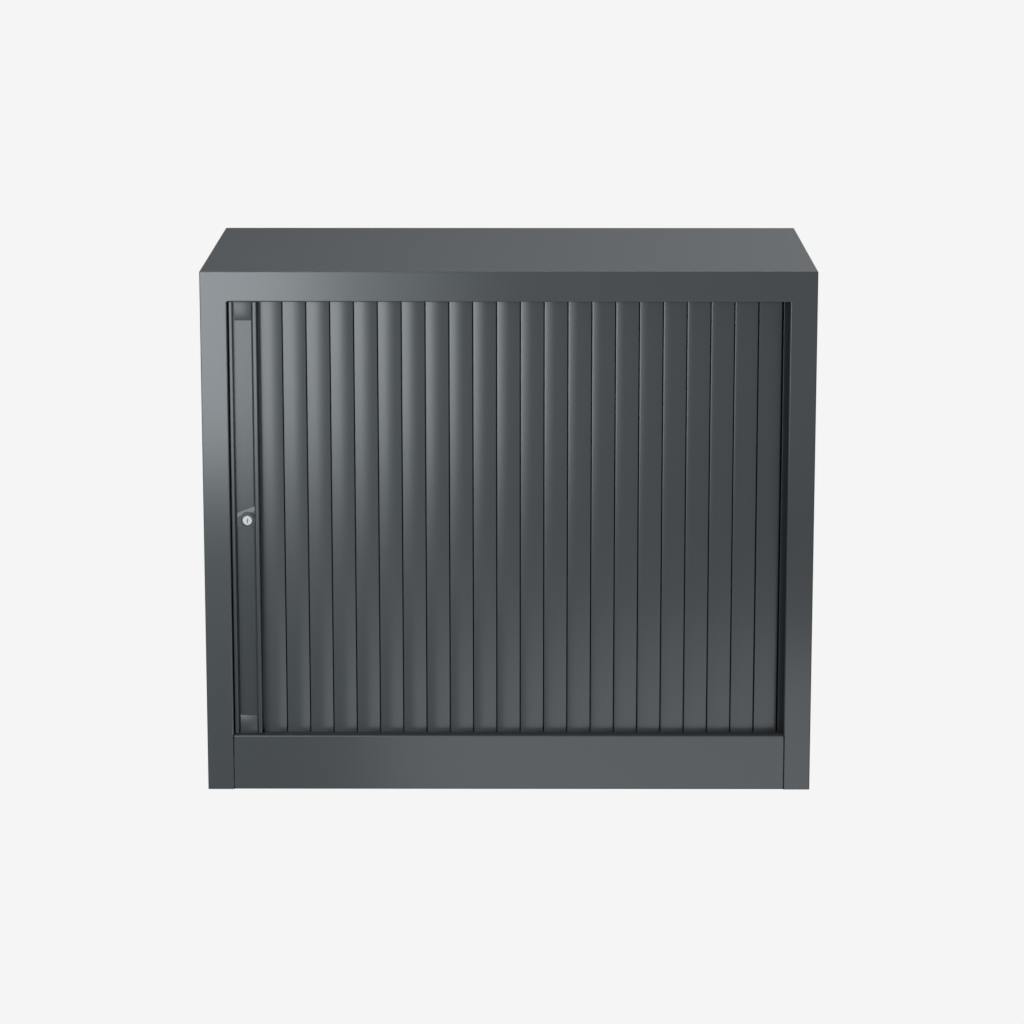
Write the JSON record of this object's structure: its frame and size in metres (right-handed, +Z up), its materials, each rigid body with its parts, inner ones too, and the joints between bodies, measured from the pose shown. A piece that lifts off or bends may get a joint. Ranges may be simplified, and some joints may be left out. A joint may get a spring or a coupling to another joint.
{
  "type": "roll front storage cupboard",
  "caption": "Low steel storage cupboard with a side-sliding roll front of upright interlocking slats, recessed pull, cam lock, shelf and levelling feet.",
  "frame": {"origin": "centre of the footprint, on the floor", "axes": "+X to the user's right along the width, +Y from the front to the back, +Z up"},
  "size_m": [0.8, 0.43, 0.695],
  "materials": {
    "powder_coat": "satin anthracite powder coat",
    "handle_coat": "satin anthracite coat on an extruded profile",
    "slat_plastic": "satin anthracite extruded plastic",
    "moulded_plastic": "moulded dark grey plastic",
    "track_plastic": "low friction dark plastic",
    "nickel_plate": "satin nickel plate",
    "zinc_plate": "bright zinc plate"
  },
  "bodies": {
    "carcass": {"back_liner": "powder_coat", "back_panel": "powder_coat", "base_panel": "powder_coat", "ceiling_panel": "powder_coat", "curtain_liner": "powder_coat", "foot_nuts": "zinc_plate", "foot_plugs": "moulded_plastic", "lock_keep": "zinc_plate", "lower_track": "track_plastic", "plinth": "powder_coat", "rear_rail": "powder_coat", "shelf": "powder_coat", "shelf_clips": "zinc_plate", "side_panel_left": "powder_coat", "side_panel_right": "powder_coat", "top_panel": "powder_coat", "upper_track": "track_plastic", "upright_front_left": "powder_coat", "upright_front_right": "powder_coat", "upright_rear_left": "powder_coat", "upright_rear_right": "powder_coat"},
    "door": {"handle_profile": "handle_coat", "handle_cap_lower": "moulded_plastic", "handle_cap_upper": "moulded_plastic", "lock_housing": "moulded_plastic", "slat_01": "slat_plastic", "slat_02": "slat_plastic", "slat_03": "slat_plastic", "slat_04": "slat_plastic", "slat_05": "slat_plastic", "slat_06": "slat_plastic", "slat_07": "slat_plastic", "slat_08": "slat_plastic", "slat_09": "slat_plastic", "slat_10": "slat_plastic", "slat_11": "slat_plastic", "slat_12": "slat_plastic", "slat_13": "slat_plastic", "slat_14": "slat_plastic", "slat_15": "slat_plastic", "slat_16": "slat_plastic", "slat_17": "slat_plastic", "slat_18": "slat_plastic", "slat_19": "slat_plastic", "slat_20": "slat_plastic", "slat_21": "slat_plastic", "slat_22": "slat_plastic", "slat_23": "slat_plastic", "slat_24": "slat_plastic"},
    "lock": {"lock_plug": "nickel_plate", "lock_cam": "zinc_plate", "cam_screw": "zinc_plate"},
    "foot_pad_front_left": {"foot_pad_front_left": "moulded_plastic"},
    "foot_stud_front_left": {"foot_stud_front_left": "zinc_plate"},
    "foot_pad_front_right": {"foot_pad_front_right": "moulded_plastic"},
    "foot_stud_front_right": {"foot_stud_front_right": "zinc_plate"},
    "foot_pad_rear_left": {"foot_pad_rear_left": "moulded_plastic"},
    "foot_stud_rear_left": {"foot_stud_rear_left": "zinc_plate"},
    "foot_pad_rear_right": {"foot_pad_rear_right": "moulded_plastic"},
    "foot_stud_rear_right": {"foot_stud_rear_right": "zinc_plate"}
  },
  "joints": [
    {"name": "door_slide", "type": "slide", "parent": "carcass", "child": "door", "axis": [1, 0, 0], "range_m": [0, 0.664], "deforming": ["slat_01", "slat_02", "slat_03", "slat_04", "slat_05", "slat_06", "slat_07", "slat_08", "slat_09", "slat_10", "slat_11", "slat_12", "slat_13", "slat_14", "slat_15", "slat_16", "slat_17", "slat_18", "slat_19", "slat_20", "slat_21", "slat_22", "slat_23", "slat_24"]},
    {"name": "lock_turn", "type": "hinge", "parent": "door", "child": "lock", "pos_m": [-0.343, -0.2, 0.3645], "axis": [0, -1, 0], "range_deg": [0, 90]},
    {"name": "foot_travel_front_left", "type": "slide", "parent": "carcass", "child": "foot_pad_front_left", "axis": [0, 0, -1], "range_m": [0, 0.015]},
    {"name": "foot_turn_front_left", "type": "hinge", "parent": "foot_pad_front_left", "child": "foot_stud_front_left", "pos_m": [-0.345, -0.155, 0.03], "axis": [0, 0, -1], "range_deg": [0, 3600]},
    {"name": "foot_travel_front_right", "type": "slide", "parent": "carcass", "child": "foot_pad_front_right", "axis": [0, 0, -1], "range_m": [0, 0.015]},
    {"name": "foot_turn_front_right", "type": "hinge", "parent": "foot_pad_front_right", "child": "foot_stud_front_right", "pos_m": [0.345, -0.155, 0.03], "axis": [0, 0, -1], "range_deg": [0, 3600]},
    {"name": "foot_travel_rear_left", "type": "slide", "parent": "carcass", "child": "foot_pad_rear_left", "axis": [0, 0, -1], "range_m": [0, 0.015]},
    {"name": "foot_turn_rear_left", "type": "hinge", "parent": "foot_pad_rear_left", "child": "foot_stud_rear_left", "pos_m": [-0.345, 0.155, 0.03], "axis": [0, 0, -1], "range_deg": [0, 3600]},
    {"name": "foot_travel_rear_right", "type": "slide", "parent": "carcass", "child": "foot_pad_rear_right", "axis": [0, 0, -1], "range_m": [0, 0.015]},
    {"name": "foot_turn_rear_right", "type": "hinge", "parent": "foot_pad_rear_right", "child": "foot_stud_rear_right", "pos_m": [0.345, 0.155, 0.03], "axis": [0, 0, -1], "range_deg": [0, 3600]}
  ],
  "couplings": [
    {"joint": "foot_turn_front_left", "follows": "foot_travel_front_left", "rad_per_m": 4188.8},
    {"joint": "foot_turn_front_right", "follows": "foot_travel_front_right", "rad_per_m": 4188.8},
    {"joint": "foot_turn_rear_left", "follows": "foot_travel_rear_left", "rad_per_m": 4188.8},
    {"joint": "foot_turn_rear_right", "follows": "foot_travel_rear_right", "rad_per_m": 4188.8}
  ]
}
